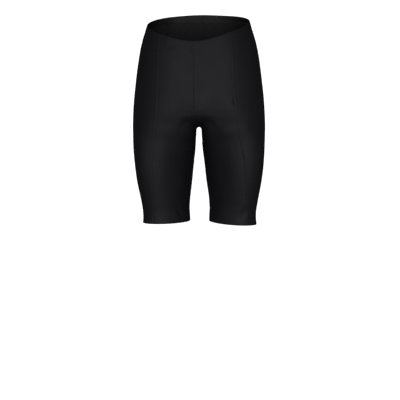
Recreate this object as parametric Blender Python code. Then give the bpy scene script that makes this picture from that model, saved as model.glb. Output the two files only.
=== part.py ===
"""Close-fitting stretch cycling shorts, worn and hollow, in metres with +Z up and the front at -Y.

The origin is the middle of the waist opening, where a wearer holds the garment up. Left and right
are the wearer's, so left is +X. Each half is cut as a front, a side and a back panel. The centre
seams run from the waist to the crotch and the inseams go on from there to the hems. An elastic
lies inside the waist edge and inside each leg hem.
"""
import math

import bmesh
import bpy
import numpy as np

MM = 0.001
LEFT, RIGHT = 1, -1
FRONT, BACK = -1, 1

# Cloth and seams, in millimetres
WALL = 1.2
SEAM_GAP = 0.3
ELASTIC_WALL = 1.2
WAIST_ELASTIC_WIDTH = 14.0
HEM_ELASTIC_WIDTH = 28.0
ELASTIC_SET_BACK = 1.5

# Heights above the origin, in millimetres
WAIST_FRONT = -28.0
WAIST_SIDE = 25.0
WAIST_BACK = 50.0
CROTCH = -249.0
HEM_MIDDLE = {LEFT: -502.5, RIGHT: -499.5}
HEM_DROP_OUTWARD = {LEFT: 2.5, RIGHT: 0.5}

# The shorts sit turned a little on the figure: the front of the waist towards the right side
WAIST_TURN = math.radians(8.0)
CENTRE_SEAM_SHIFT = {FRONT: -14.0, BACK: 9.0}
CENTRE_SEAM_STRAIGHTENS = 45.0
LEG_SWAY = 1.8
SWEEP_BACK_OFFSET = 6.0
SWEEP_CENTRE = -150.0

# Half of the body at each height. axis is the middle of the leg or of that half of the torso, outer and
# inner are its sides from the middle plane, and blend is how widely both halves merge. lean draws the
# outer side forward and the inner side back, square fills out the inner corners, which are those of an
# ellipse at 2, and inseam is how far back the innermost line lies.
SECTION_COLUMNS = ("height", "axis", "outer", "inner", "front", "back", "blend", "lean", "square", "inseam")
SECTIONS = (
    (70.0, 44.0, 123.0, -36.0, 82.0, 84.0, 44.0, 0.0, 2.0, 6.0),
    (22.0, 48.0, 135.2, -42.0, 88.0, 91.0, 46.0, 0.0, 2.0, 6.0),
    (-33.0, 52.0, 151.8, -50.0, 98.0, 104.0, 48.0, 0.0, 2.0, 6.0),
    (-98.0, 54.0, 162.9, -56.0, 105.0, 119.0, 50.0, 0.0, 2.0, 6.0),
    (-151.0, 58.0, 169.3, -50.0, 106.0, 126.0, 54.0, 0.0, 2.3, 6.0),
    (-190.0, 68.0, 172.8, -30.0, 104.0, 123.5, 56.0, 0.0, 3.2, 6.0),
    (-208.0, 74.8, 173.9, -16.5, 102.0, 119.3, 60.0, -0.01, 3.9, 6.0),
    (-220.0, 79.8, 174.5, -8.0, 100.0, 116.0, 63.0, -0.02, 4.3, 6.0),
    (-232.0, 85.0, 174.8, 0.0, 97.0, 112.0, 53.0, -0.04, 4.5, 6.0),
    (-240.0, 88.0, 175.0, 4.0, 95.0, 109.0, 33.0, -0.06, 4.5, 6.0),
    (-249.0, 90.2, 175.0, 6.0, 93.0, 106.0, 24.0, -0.09, 4.4, 6.0),
    (-262.0, 90.8, 174.5, 6.8, 90.5, 101.5, 9.0, -0.15, 4.0, 10.0),
    (-284.0, 91.5, 173.7, 8.2, 87.0, 95.0, 2.0, -0.26, 3.2, 20.0),
    (-310.0, 91.9, 172.4, 10.0, 83.5, 89.0, 2.0, -0.36, 2.6, 28.0),
    (-337.0, 92.5, 170.3, 13.1, 80.0, 83.5, 2.0, -0.41, 2.2, 32.0),
    (-390.0, 92.2, 164.1, 18.7, 73.5, 75.0, 2.0, -0.42, 2.0, 31.0),
    (-443.0, 90.5, 154.3, 25.3, 66.0, 66.5, 2.0, -0.38, 2.0, 25.0),
    (-470.0, 89.1, 150.2, 26.8, 63.0, 64.0, 2.0, -0.35, 2.0, 22.0),
    (-484.0, 88.4, 149.4, 26.1, 62.5, 63.0, 2.0, -0.33, 2.0, 21.0),
    (-508.0, 88.9, 151.2, 25.5, 63.5, 64.0, 2.0, -0.31, 2.0, 20.0),
)

# The seams that bound the side panel, as distances from the middle plane, and how far the turn
# moves both front ones towards the right side and both back ones towards the left
SEAM_COLUMNS = ("height", "front_seam", "back_seam", "turn")
SEAMS = (
    (70.0, 88.0, 90.0, 11.0),
    (-10.0, 88.5, 91.0, 10.7),
    (-46.0, 92.0, 92.5, 10.5),
    (-112.0, 94.2, 95.0, 10.0),
    (-183.0, 98.0, 99.0, 8.5),
    (-267.0, 107.5, 107.0, 5.0),
    (-332.0, 118.0, 114.0, 2.5),
    (-464.0, 121.8, 117.0, 0.0),
    (-508.0, 122.0, 117.0, 0.0),
)

# Places round one half, from the front centre line and inseam to the back ones
AT_FRONT_SEAM, AT_BACK_SEAM = 0.36, 0.64
PANELS = (
    ("front", 0.0, AT_FRONT_SEAM, 10),
    ("side", AT_FRONT_SEAM, AT_BACK_SEAM, 8),
    ("back", AT_BACK_SEAM, 1.0, 10),
)
OUTER_SIDE = 0.5
TORSO_ROWS = 15
LEG_ROWS = 10
CLOSE_ROWS_BELOW_CROTCH = (0.02, 0.045)

# How finely the seam lines are followed, and how the cloth is searched for along a ray
LINE_SAMPLES = 160
SEARCH_STEPS = 34
SEARCH_REACH = 260.0
SEARCH_PAST_MIDDLE = 21.0
SWEEP_PASSES = 3
SLOPE_STEP = 0.05
TINY = 1e-9

CLOTH_COLOUR = (0.012, 0.012, 0.015, 1.0)
ELASTIC_COLOUR = (0.016, 0.016, 0.018, 1.0)
CLOTH_ROUGHNESS = 0.5
ELASTIC_ROUGHNESS = 0.7
SHARP_ANGLE = math.radians(40.0)


def smooth_column(rows, column):
    """Give a function of height that runs smoothly through one column of a table."""
    heights = np.array([row[0] for row in reversed(rows)])
    values = np.array([row[column] for row in reversed(rows)])
    slopes = np.gradient(values, heights)

    def value(height):
        height = np.clip(height, heights[0], heights[-1])
        below = np.clip(np.searchsorted(heights, height) - 1, 0, len(heights) - 2)
        span = heights[below + 1] - heights[below]
        t = (height - heights[below]) / span
        start = (1 + 2 * t) * (1 - t) ** 2 * values[below] + t * (1 - t) ** 2 * span * slopes[below]
        end = t * t * (3 - 2 * t) * values[below + 1] - t * t * (1 - t) * span * slopes[below + 1]
        return start + end

    return value


SECTION = {name: smooth_column(SECTIONS, i) for i, name in enumerate(SECTION_COLUMNS)}
SEAM = {name: smooth_column(SEAMS, i) for i, name in enumerate(SEAM_COLUMNS)}


def half_distance(x, y, height):
    """Distance outside one half's oval, with x towards that half."""
    across = x - SECTION["axis"](height)
    y = y - SECTION["lean"](height) * across
    outer_reach = SECTION["outer"](height) - SECTION["axis"](height)
    inner_reach = SECTION["axis"](height) - SECTION["inner"](height)
    reach_x = np.where(across > 0, outer_reach, inner_reach)
    reach_y = np.where(y < 0, SECTION["front"](height), SECTION["back"](height))
    power = np.where(across > 0, 2.0, SECTION["square"](height))
    radius = np.hypot(across, y) + TINY
    scale = (np.abs(across / reach_x) ** power + np.abs(y / reach_y) ** power) ** (1 / power) + TINY
    return radius - radius / scale


def cloth_distance(x, y, height):
    """Distance outside the cloth: both halves' ovals, merged smoothly across the middle plane."""
    here = half_distance(x, y, height)
    other = half_distance(-x, y, height)
    blend = np.maximum(SECTION["blend"](height), 1.0)
    merged = np.maximum(blend - np.abs(here - other), 0.0) / blend
    return np.minimum(here, other) - merged ** 2 * blend / 4


def reach_cloth(start, direction):
    """Follow rays, given as x, y and height arrays, from inside to where they meet the cloth. None
    runs on into the other half, apart from where the turn moves the centre seams there."""
    near = np.zeros(np.broadcast(*start, *direction).shape)
    past_middle = np.maximum(start[0], 0) + SEARCH_PAST_MIDDLE * turned_share(start[2])
    far = np.minimum(near + SEARCH_REACH, past_middle / np.maximum(-direction[0], TINY))
    for _ in range(SEARCH_STEPS):
        middle = (near + far) / 2
        inside = cloth_distance(*(s + middle * d for s, d in zip(start, direction))) < 0
        near = np.where(inside, middle, near)
        far = np.where(inside, far, middle)
    return np.stack([s + near * d for s, d in zip(start, direction)], axis=-1)


def fall(value):
    """A smooth step down from 1 to 0 while the value runs from 0 to 1."""
    t = np.clip(value, 0, 1)
    return 1 - t * t * (3 - 2 * t)


def waist_height(angle):
    """The waist edge at an angle from the front: low in front, high behind."""
    middle = (WAIST_FRONT + WAIST_BACK + 2 * WAIST_SIDE) / 4
    tilt = (WAIST_BACK - WAIST_FRONT) / 2
    bend = (WAIST_FRONT + WAIST_BACK - 2 * WAIST_SIDE) / 4
    return middle - tilt * np.cos(angle) + bend * np.cos(2 * angle)


def turned_share(height):
    """The share of their full shift that the centre seams have, from none at the crotch."""
    return 1 - fall((height - CROTCH) / CENTRE_SEAM_STRAIGHTENS)


def seam_shift(side, facing, height):
    """How far the turn of the garment moves its centre seams towards a side, above the crotch."""
    return side * CENTRE_SEAM_SHIFT[facing] * turned_share(height)


def evenly(points, fractions):
    """Points at equal fractions of the length of a line."""
    steps = np.linalg.norm(np.diff(points, axis=0), axis=1)
    length = np.concatenate([[0.0], np.cumsum(steps)])
    return np.stack([np.interp(fractions * length[-1], length, column) for column in points.T], axis=-1)


def centre_seam(side, facing):
    """The front or back centre seam, from the waist edge to the crotch, with x towards the side."""
    top = WAIST_FRONT if facing == FRONT else WAIST_BACK
    heights = np.linspace(top, SWEEP_CENTRE, LINE_SAMPLES)
    straight_x = seam_shift(side, facing, heights)
    straight = reach_cloth((straight_x, SWEEP_BACK_OFFSET + 0 * heights, heights), (0.0, facing, 0.0))
    turn = np.linspace(0, math.pi / 2, LINE_SAMPLES)[1:]
    under_x = 0 * turn
    for _ in range(SWEEP_PASSES):
        start = (under_x, SWEEP_BACK_OFFSET + 0 * turn, SWEEP_CENTRE + 0 * turn)
        under = reach_cloth(start, (0.0, facing * np.cos(turn), -np.sin(turn)))
        under_x = seam_shift(side, facing, under[:, 2])
    return np.concatenate([straight, under])


def inseam(side, crotch_point):
    """The inseam, from the crotch point to the hem."""
    drop = np.linspace(0, 1, LINE_SAMPLES)[1:] ** 2
    hem = HEM_MIDDLE[side] + HEM_DROP_OUTWARD[side]
    heights = crotch_point[2] + drop * (hem - crotch_point[2])
    start = (SECTION["axis"](heights), SECTION["inseam"](heights), heights)
    return np.concatenate([crotch_point[None], reach_cloth(start, (-1.0, 0.0, 0.0))])


def line_place(side, facing):
    """Give a function for the panel's inner edge: 0 is the waist, 1 the crotch and 2 the hem."""
    upper = centre_seam(side, facing)
    lower = inseam(side, upper[-1])

    def place(down):
        torso = evenly(upper, np.clip(down, 0, 1))
        leg = evenly(lower, np.clip(down - 1, 0, 1))
        return np.where((down <= 1)[..., None], torso, leg)

    return place


INNER_EDGE = {(side, facing): line_place(side, facing) for side in (LEFT, RIGHT) for facing in (FRONT, BACK)}


def seam_angle(side, facing, height):
    """The angle of a side panel's seam about the half's axis, from outward towards the front."""
    column = "front_seam" if facing == FRONT else "back_seam"
    x = SEAM[column](height) + side * facing * SEAM["turn"](height)
    middle = SECTION["inseam"](height)
    on_seam = reach_cloth((x, middle, height), (0.0, facing, 0.0))
    return np.arctan2(middle - on_seam[..., 1], x - SECTION["axis"](height))


def edge_angle(point):
    """The angle of a point of the inner edge about the half's axis."""
    across = point[..., 0] - SECTION["axis"](point[..., 2])
    return np.arctan2(SECTION["inseam"](point[..., 2]) - point[..., 1], across) % (2 * math.pi)


def cloth_place(side, around, down):
    """A point of the cloth, with x towards the side. around runs from the front inner edge to the
    back one, and down from the waist to the hem."""
    around, down = np.broadcast_arrays(np.asarray(around, float), np.asarray(down, float))
    front_edge = INNER_EDGE[side, FRONT](down)
    back_edge = INNER_EDGE[side, BACK](down)
    hem = HEM_MIDDLE[side] - HEM_DROP_OUTWARD[side]
    outside = np.interp(down, (0, 1, 2), (WAIST_SIDE, CROTCH, hem))
    near_edge = np.where(around < OUTER_SIDE, front_edge[..., 2], back_edge[..., 2])
    share = (1 + np.cos(2 * math.pi * around)) / 2
    height = outside + (near_edge - outside) * share
    point = place_on_section(side, around, height, front_edge, back_edge)
    turn = np.arctan2(point[..., 0], -point[..., 1]) + side * WAIST_TURN
    edge_level = np.where(around < OUTER_SIDE, WAIST_FRONT, WAIST_BACK)
    level = WAIST_SIDE + (edge_level - WAIST_SIDE) * share
    height = height + (waist_height(turn) - level) * fall(2 * down)
    return place_on_section(side, around, height, front_edge, back_edge)


def place_on_section(side, around, height, front_edge, back_edge):
    """The point at a height that lies in proportion between the inner edges and the seams."""
    angles = (
        edge_angle(front_edge),
        seam_angle(side, FRONT, height),
        seam_angle(side, BACK, height),
        edge_angle(back_edge) - 2 * math.pi,
    )
    stops = (0.0, AT_FRONT_SEAM, AT_BACK_SEAM, 1.0)
    angle = np.zeros(height.shape)
    for first, (start, end) in enumerate(zip(stops, stops[1:])):
        share = (around - start) / (end - start)
        between = angles[first] + (angles[first + 1] - angles[first]) * share
        angle = np.where((around >= start) & (around <= end), between, angle)
    start = (SECTION["axis"](height), SECTION["inseam"](height), height)
    return reach_cloth(start, (np.cos(angle), -np.sin(angle), 0.0))


def outward(point):
    """The cloth's outward direction at a point."""
    slopes = []
    for axis in range(3):
        ahead, behind = point.copy(), point.copy()
        ahead[..., axis] += SLOPE_STEP
        behind[..., axis] -= SLOPE_STEP
        slopes.append(cloth_distance(*np.moveaxis(ahead, -1, 0)) - cloth_distance(*np.moveaxis(behind, -1, 0)))
    slope = np.stack(slopes, axis=-1)
    return slope / np.linalg.norm(slope, axis=-1, keepdims=True)


def part_seams(grid):
    """Draw the first and last column back from their seams by half the seam gap."""
    for edge, neighbour in ((0, 1), (-1, -2)):
        along = grid[:, neighbour] - grid[:, edge]
        grid[:, edge] += along / np.linalg.norm(along, axis=-1, keepdims=True) * SEAM_GAP / 2


def to_world(side, grid):
    """Turn points with x towards a side into world metres, with the legs' slight sway."""
    sway = LEG_SWAY * (1 - fall((CROTCH - grid[..., 2]) / (CROTCH - HEM_MIDDLE[side])))
    x = side * grid[..., 0] + sway
    return np.stack([x, grid[..., 1], grid[..., 2]], axis=-1) * MM


def closed_wall(name, outer, inner, leans, material, flip, ring=False):
    """Make one closed body from an outer and an inner grid of points, open at its edges or a ring.
    A column that leans has its diagonals from its own top to the next column's bottom."""
    rows, columns = outer.shape[:2]
    mesh = bpy.data.meshes.new(name)
    bm = bmesh.new()
    out, back = ([[bm.verts.new(point) for point in row] for row in grid] for grid in (outer, inner))

    def two_triangles(a, b, c, d, turned=False):
        for triangle in ((a, b, c), (a, c, d)):
            bm.faces.new(triangle if flip != turned else triangle[::-1])

    for column, lean in enumerate(leans):
        after = (column + 1) % columns
        for row in range(rows - 1):
            for face, turned in ((out, False), (back, True)):
                corners = [face[row][column], face[row][after], face[row + 1][after], face[row + 1][column]]
                if not lean:
                    corners = corners[1:] + corners[:1]
                two_triangles(*corners, turned=turned)
        two_triangles(back[0][column], back[0][after], out[0][after], out[0][column])
        two_triangles(out[-1][column], out[-1][after], back[-1][after], back[-1][column])
    if not ring:
        for row in range(rows - 1):
            two_triangles(back[row][0], out[row][0], out[row + 1][0], back[row + 1][0])
            two_triangles(out[row][-1], back[row][-1], back[row + 1][-1], out[row + 1][-1])
    bm.to_mesh(mesh)
    bm.free()
    mesh.shade_smooth()
    mesh.set_sharp_from_angle(angle=SHARP_ANGLE)
    piece = bpy.data.objects.new(name, mesh)
    piece.data.materials.append(material)
    bpy.context.scene.collection.objects.link(piece)
    return piece


def make_material(name, colour, roughness):
    material = bpy.data.materials.new(name)
    material.use_nodes = True
    shader = material.node_tree.nodes["Principled BSDF"]
    shader.inputs["Base Color"].default_value = colour
    shader.inputs["Roughness"].default_value = roughness
    shader.inputs["Metallic"].default_value = 0.0
    return material


def elastic_stops():
    """Where the elastics' far edges lie on the way down, so that the panels bend there too."""
    torso = WAIST_SIDE - CROTCH
    leg = CROTCH - HEM_MIDDLE[LEFT]
    waist = (ELASTIC_SET_BACK / torso, WAIST_ELASTIC_WIDTH / torso)
    hem = (2 - HEM_ELASTIC_WIDTH / leg, 2 - HEM_ELASTIC_WIDTH / 2 / leg, 2 - ELASTIC_SET_BACK / leg)
    return waist, hem


def panel_rows():
    """Rows down a panel: the waist edge, even rows to the crotch, then to the hem's elastic."""
    waist, hem = elastic_stops()
    torso = np.linspace(waist[1], 1, TORSO_ROWS)
    leg = np.linspace(1, hem[0], LEG_ROWS)[1:]
    near_crotch = 1 + np.array(CLOSE_ROWS_BELOW_CROTCH)
    return np.sort(np.concatenate([[0, waist[0]], torso, near_crotch, leg, hem[1:], [2]]))


def make_panel(name, side, start, end, columns, material):
    """One cut panel of cloth."""
    down = panel_rows()[:, None]
    around = np.linspace(start, end, columns + 1)[None, :]
    middle = cloth_place(side, around, down)
    part_seams(middle)
    inner = middle - outward(middle) * WALL
    leans = around[0, :-1] < OUTER_SIDE - TINY
    closed_wall(name, to_world(side, middle), to_world(side, inner), leans, material, side == RIGHT)


def whole_round():
    """All the columns of one half's panels, once each."""
    columns = [np.linspace(start, end, count + 1)[:-1] for _, start, end, count in PANELS]
    return np.concatenate(columns)


def inside_of(grid):
    """The faces of an elastic that lies just inside the wall."""
    normal = outward(grid)
    return grid - normal * (WALL + SEAM_GAP), grid - normal * (WALL + SEAM_GAP + ELASTIC_WALL)


def make_waist_elastic(material):
    """The elastic inside the waist edge, one ring round both halves."""
    down = np.array(elastic_stops()[0])[:, None]
    left_around = whole_round()[None, :]
    right_around = np.concatenate([whole_round()[1:], [1.0]])[None, ::-1]
    faces = []
    for side, around in ((LEFT, left_around), (RIGHT, right_around)):
        faces.append([to_world(side, face) for face in inside_of(cloth_place(side, around, down))])
    outer, inner = (np.concatenate([faces[0][i], faces[1][i]], axis=1) for i in (0, 1))
    leans = np.concatenate([left_around[0] < OUTER_SIDE - TINY, right_around[0] > OUTER_SIDE + TINY])
    closed_wall("waist_elastic", outer, inner, leans, material, False, ring=True)


def make_hem_elastic(name, side, material):
    """The elastic inside a leg hem, a ring round one leg."""
    down = np.array(elastic_stops()[1])[:, None]
    around = whole_round()
    outer, inner = inside_of(cloth_place(side, around[None, :], down))
    leans = around < OUTER_SIDE - TINY
    closed_wall(name, to_world(side, outer), to_world(side, inner), leans, material, side == RIGHT, ring=True)


def main():
    for thing in list(bpy.data.objects):
        bpy.data.objects.remove(thing, do_unlink=True)
    cloth = make_material("stretch_cloth", CLOTH_COLOUR, CLOTH_ROUGHNESS)
    elastic = make_material("elastic", ELASTIC_COLOUR, ELASTIC_ROUGHNESS)
    for side, side_name in ((LEFT, "left"), (RIGHT, "right")):
        for panel, start, end, columns in PANELS:
            make_panel(f"{panel}_{side_name}", side, start, end, columns, cloth)
        make_hem_elastic(f"hem_elastic_{side_name}", side, elastic)
    make_waist_elastic(elastic)


main()
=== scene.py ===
"""The looks of the cycling shorts: stretch cloth with its seams, turned edges, creases and sewing,
in a plain studio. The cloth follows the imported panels, from the same sections, in millimetres.
Left and right are the wearer's, so left is +X, and the front is at -Y.
"""

import math

import bpy
import numpy as np
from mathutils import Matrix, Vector


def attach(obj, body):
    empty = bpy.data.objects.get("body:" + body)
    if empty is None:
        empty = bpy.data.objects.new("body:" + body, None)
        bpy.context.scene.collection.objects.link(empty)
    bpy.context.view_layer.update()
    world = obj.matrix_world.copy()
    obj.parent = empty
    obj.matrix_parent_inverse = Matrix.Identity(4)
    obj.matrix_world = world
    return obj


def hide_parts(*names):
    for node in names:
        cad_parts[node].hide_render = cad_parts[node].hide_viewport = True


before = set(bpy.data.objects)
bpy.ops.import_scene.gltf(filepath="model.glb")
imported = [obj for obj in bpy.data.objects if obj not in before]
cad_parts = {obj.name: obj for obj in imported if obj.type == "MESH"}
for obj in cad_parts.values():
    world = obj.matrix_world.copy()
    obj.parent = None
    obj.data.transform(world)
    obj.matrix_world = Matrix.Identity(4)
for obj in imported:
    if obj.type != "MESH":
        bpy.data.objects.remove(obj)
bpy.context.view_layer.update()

MM = 0.001
LEFT, RIGHT = 1, -1
FRONT, BACK = -1, 1

# Cloth, elastic and thread, in millimetres
CLOTH_THICKNESS = 0.8
WAIST_TURN_DEPTH = 14.5
WAIST_ROLL_RADIUS = 1.2
HEM_ROLL_RADIUS = 0.85
HEM_TURN_DEPTH = 7.0
WAIST_ELASTIC_WIDTH = 14.0
HEM_ELASTIC_WIDTH = 28.0
ELASTIC_SET_BACK = 1.5
ELASTIC_THICKNESS = 0.8

# Heights above the origin, in millimetres
WAIST_FRONT = -28.0
WAIST_SIDE = 25.0
WAIST_BACK = 50.0
CROTCH = -249.0
HEM_MIDDLE = {LEFT: -502.5, RIGHT: -499.5}
HEM_DROP_OUTWARD = {LEFT: 2.5, RIGHT: 0.5}

# The shorts sit turned a little on the figure: the front of the waist towards the right side
WAIST_TURN = math.radians(8.0)
CENTRE_SEAM_SHIFT = {FRONT: -14.0, BACK: 9.0}
CENTRE_SEAM_STRAIGHTENS = 45.0
LEG_SWAY = 1.8
SWEEP_BACK_OFFSET = 6.0
SWEEP_CENTRE = -150.0

# Half of the body at each height. axis is the middle of the leg or of that half of the torso, outer and
# inner are its sides from the middle plane, and blend is how widely both halves merge. lean draws the
# outer side forward and the inner side back, square fills out the inner corners, which are those of an
# ellipse at 2, and inseam is how far back the innermost line lies.
SECTION_COLUMNS = ("height", "axis", "outer", "inner", "front", "back", "blend", "lean", "square", "inseam")
SECTIONS = (
    (70.0, 44.0, 123.0, -36.0, 82.0, 84.0, 44.0, 0.0, 2.0, 6.0),
    (22.0, 48.0, 135.2, -42.0, 88.0, 91.0, 46.0, 0.0, 2.0, 6.0),
    (-33.0, 52.0, 151.8, -50.0, 98.0, 104.0, 48.0, 0.0, 2.0, 6.0),
    (-98.0, 54.0, 162.9, -56.0, 105.0, 119.0, 50.0, 0.0, 2.0, 6.0),
    (-151.0, 58.0, 169.3, -50.0, 106.0, 126.0, 54.0, 0.0, 2.3, 6.0),
    (-190.0, 68.0, 172.8, -30.0, 104.0, 123.5, 56.0, 0.0, 3.2, 6.0),
    (-208.0, 74.8, 173.9, -16.5, 102.0, 119.3, 60.0, -0.01, 3.9, 6.0),
    (-220.0, 79.8, 174.5, -8.0, 100.0, 116.0, 63.0, -0.02, 4.3, 6.0),
    (-232.0, 85.0, 174.8, 0.0, 97.0, 112.0, 53.0, -0.04, 4.5, 6.0),
    (-240.0, 88.0, 175.0, 4.0, 95.0, 109.0, 33.0, -0.06, 4.5, 6.0),
    (-249.0, 90.2, 175.0, 6.0, 93.0, 106.0, 24.0, -0.09, 4.4, 6.0),
    (-262.0, 90.8, 174.5, 6.8, 90.5, 101.5, 9.0, -0.15, 4.0, 10.0),
    (-284.0, 91.5, 173.7, 8.2, 87.0, 95.0, 2.0, -0.26, 3.2, 20.0),
    (-310.0, 91.9, 172.4, 10.0, 83.5, 89.0, 2.0, -0.36, 2.6, 28.0),
    (-337.0, 92.5, 170.3, 13.1, 80.0, 83.5, 2.0, -0.41, 2.2, 32.0),
    (-390.0, 92.2, 164.1, 18.7, 73.5, 75.0, 2.0, -0.42, 2.0, 31.0),
    (-443.0, 90.5, 154.3, 25.3, 66.0, 66.5, 2.0, -0.38, 2.0, 25.0),
    (-470.0, 89.1, 150.2, 26.8, 63.0, 64.0, 2.0, -0.35, 2.0, 22.0),
    (-484.0, 88.4, 149.4, 26.1, 62.5, 63.0, 2.0, -0.33, 2.0, 21.0),
    (-508.0, 88.9, 151.2, 25.5, 63.5, 64.0, 2.0, -0.31, 2.0, 20.0),
)

# The seams that bound the side panel, as distances from the middle plane, and how far the turn
# moves both front ones towards the right side and both back ones towards the left
SEAM_COLUMNS = ("height", "front_seam", "back_seam", "turn")
SEAMS = (
    (70.0, 88.0, 90.0, 11.0),
    (-10.0, 88.5, 91.0, 10.7),
    (-46.0, 92.0, 92.5, 10.5),
    (-112.0, 94.2, 95.0, 10.0),
    (-183.0, 98.0, 99.0, 8.5),
    (-267.0, 107.5, 107.0, 5.0),
    (-332.0, 118.0, 114.0, 2.5),
    (-464.0, 121.8, 117.0, 0.0),
    (-508.0, 122.0, 117.0, 0.0),
)

# Places round one half, from the front centre line and inseam to the back ones, and how many
# columns each panel has there
AT_FRONT_SEAM, AT_BACK_SEAM = 0.36, 0.64
SEAM_PLACES = (0.0, AT_FRONT_SEAM, AT_BACK_SEAM, 1.0)
PANELS = (
    ("front", 0.0, AT_FRONT_SEAM, 84),
    ("side", AT_FRONT_SEAM, AT_BACK_SEAM, 110),
    ("back", AT_BACK_SEAM, 1.0, 84),
)
OUTER_SIDE = 0.5
TORSO_LENGTH = WAIST_SIDE - CROTCH
LEG_LENGTH = CROTCH - HEM_MIDDLE[LEFT]
ROW_STEP = 2.2

# How finely the seam lines are followed, and how the cloth is searched for along a ray
LINE_SAMPLES = 160
SEARCH_STEPS = 34
SEARCH_REACH = 260.0
SEARCH_PAST_MIDDLE = 21.0
SWEEP_PASSES = 3
SLOPE_STEP = 0.05
TINY = 1e-9
SHARP_ANGLE = math.radians(60.0)


def smooth_column(rows, column):
    """Give a function of height that runs smoothly through one column of a table."""
    heights = np.array([row[0] for row in reversed(rows)])
    values = np.array([row[column] for row in reversed(rows)])
    slopes = np.gradient(values, heights)

    def value(height):
        height = np.clip(height, heights[0], heights[-1])
        below = np.clip(np.searchsorted(heights, height) - 1, 0, len(heights) - 2)
        span = heights[below + 1] - heights[below]
        t = (height - heights[below]) / span
        start = (1 + 2 * t) * (1 - t) ** 2 * values[below] + t * (1 - t) ** 2 * span * slopes[below]
        end = t * t * (3 - 2 * t) * values[below + 1] - t * t * (1 - t) * span * slopes[below + 1]
        return start + end

    return value


SECTION = {name: smooth_column(SECTIONS, i) for i, name in enumerate(SECTION_COLUMNS)}
SEAM = {name: smooth_column(SEAMS, i) for i, name in enumerate(SEAM_COLUMNS)}


def half_distance(x, y, height):
    """Distance outside one half's oval, with x towards that half."""
    across = x - SECTION["axis"](height)
    y = y - SECTION["lean"](height) * across
    outer_reach = SECTION["outer"](height) - SECTION["axis"](height)
    inner_reach = SECTION["axis"](height) - SECTION["inner"](height)
    reach_x = np.where(across > 0, outer_reach, inner_reach)
    reach_y = np.where(y < 0, SECTION["front"](height), SECTION["back"](height))
    power = np.where(across > 0, 2.0, SECTION["square"](height))
    radius = np.hypot(across, y) + TINY
    scale = (np.abs(across / reach_x) ** power + np.abs(y / reach_y) ** power) ** (1 / power) + TINY
    return radius - radius / scale


def cloth_distance(x, y, height):
    """Distance outside the cloth: both halves' ovals, merged smoothly across the middle plane."""
    here = half_distance(x, y, height)
    other = half_distance(-x, y, height)
    blend = np.maximum(SECTION["blend"](height), 1.0)
    merged = np.maximum(blend - np.abs(here - other), 0.0) / blend
    return np.minimum(here, other) - merged ** 2 * blend / 4


def reach_cloth(start, direction):
    """Follow rays, given as x, y and height arrays, from inside to where they meet the cloth. None
    runs on into the other half, apart from where the turn moves the centre seams there."""
    near = np.zeros(np.broadcast(*start, *direction).shape)
    past_middle = np.maximum(start[0], 0) + SEARCH_PAST_MIDDLE * turned_share(start[2])
    far = np.minimum(near + SEARCH_REACH, past_middle / np.maximum(-direction[0], TINY))
    for _ in range(SEARCH_STEPS):
        middle = (near + far) / 2
        inside = cloth_distance(*(s + middle * d for s, d in zip(start, direction))) < 0
        near = np.where(inside, middle, near)
        far = np.where(inside, far, middle)
    return np.stack([s + near * d for s, d in zip(start, direction)], axis=-1)


def fall(value):
    """A smooth step down from 1 to 0 while the value runs from 0 to 1."""
    t = np.clip(value, 0, 1)
    return 1 - t * t * (3 - 2 * t)


def waist_height(angle):
    """The waist edge at an angle from the front: low in front, high behind."""
    middle = (WAIST_FRONT + WAIST_BACK + 2 * WAIST_SIDE) / 4
    tilt = (WAIST_BACK - WAIST_FRONT) / 2
    bend = (WAIST_FRONT + WAIST_BACK - 2 * WAIST_SIDE) / 4
    return middle - tilt * np.cos(angle) + bend * np.cos(2 * angle)


def turned_share(height):
    """The share of their full shift that the centre seams have, from none at the crotch."""
    return 1 - fall((height - CROTCH) / CENTRE_SEAM_STRAIGHTENS)


def seam_shift(side, facing, height):
    """How far the turn of the garment moves its centre seams towards a side, above the crotch."""
    return side * CENTRE_SEAM_SHIFT[facing] * turned_share(height)


def evenly(points, fractions):
    """Points at equal fractions of the length of a line."""
    steps = np.linalg.norm(np.diff(points, axis=0), axis=1)
    length = np.concatenate([[0.0], np.cumsum(steps)])
    return np.stack([np.interp(fractions * length[-1], length, column) for column in points.T], axis=-1)


def centre_seam(side, facing):
    """The front or back centre seam, from the waist edge to the crotch, with x towards the side."""
    top = WAIST_FRONT if facing == FRONT else WAIST_BACK
    heights = np.linspace(top, SWEEP_CENTRE, LINE_SAMPLES)
    straight_x = seam_shift(side, facing, heights)
    straight = reach_cloth((straight_x, SWEEP_BACK_OFFSET + 0 * heights, heights), (0.0, facing, 0.0))
    turn = np.linspace(0, math.pi / 2, LINE_SAMPLES)[1:]
    under_x = 0 * turn
    for _ in range(SWEEP_PASSES):
        start = (under_x, SWEEP_BACK_OFFSET + 0 * turn, SWEEP_CENTRE + 0 * turn)
        under = reach_cloth(start, (0.0, facing * np.cos(turn), -np.sin(turn)))
        under_x = seam_shift(side, facing, under[:, 2])
    return np.concatenate([straight, under])


def inseam(side, crotch_point):
    """The inseam, from the crotch point to the hem."""
    drop = np.linspace(0, 1, LINE_SAMPLES)[1:] ** 2
    hem = HEM_MIDDLE[side] + HEM_DROP_OUTWARD[side]
    heights = crotch_point[2] + drop * (hem - crotch_point[2])
    start = (SECTION["axis"](heights), SECTION["inseam"](heights), heights)
    return np.concatenate([crotch_point[None], reach_cloth(start, (-1.0, 0.0, 0.0))])


def line_place(side, facing):
    """Give a function for the panel's inner edge: 0 is the waist, 1 the crotch and 2 the hem."""
    upper = centre_seam(side, facing)
    lower = inseam(side, upper[-1])

    def place(down):
        torso = evenly(upper, np.clip(down, 0, 1))
        leg = evenly(lower, np.clip(down - 1, 0, 1))
        return np.where((down <= 1)[..., None], torso, leg)

    return place


INNER_EDGE = {
    (side, facing): line_place(side, facing)
    for side in (LEFT, RIGHT)
    for facing in (FRONT, BACK)
}


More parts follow.
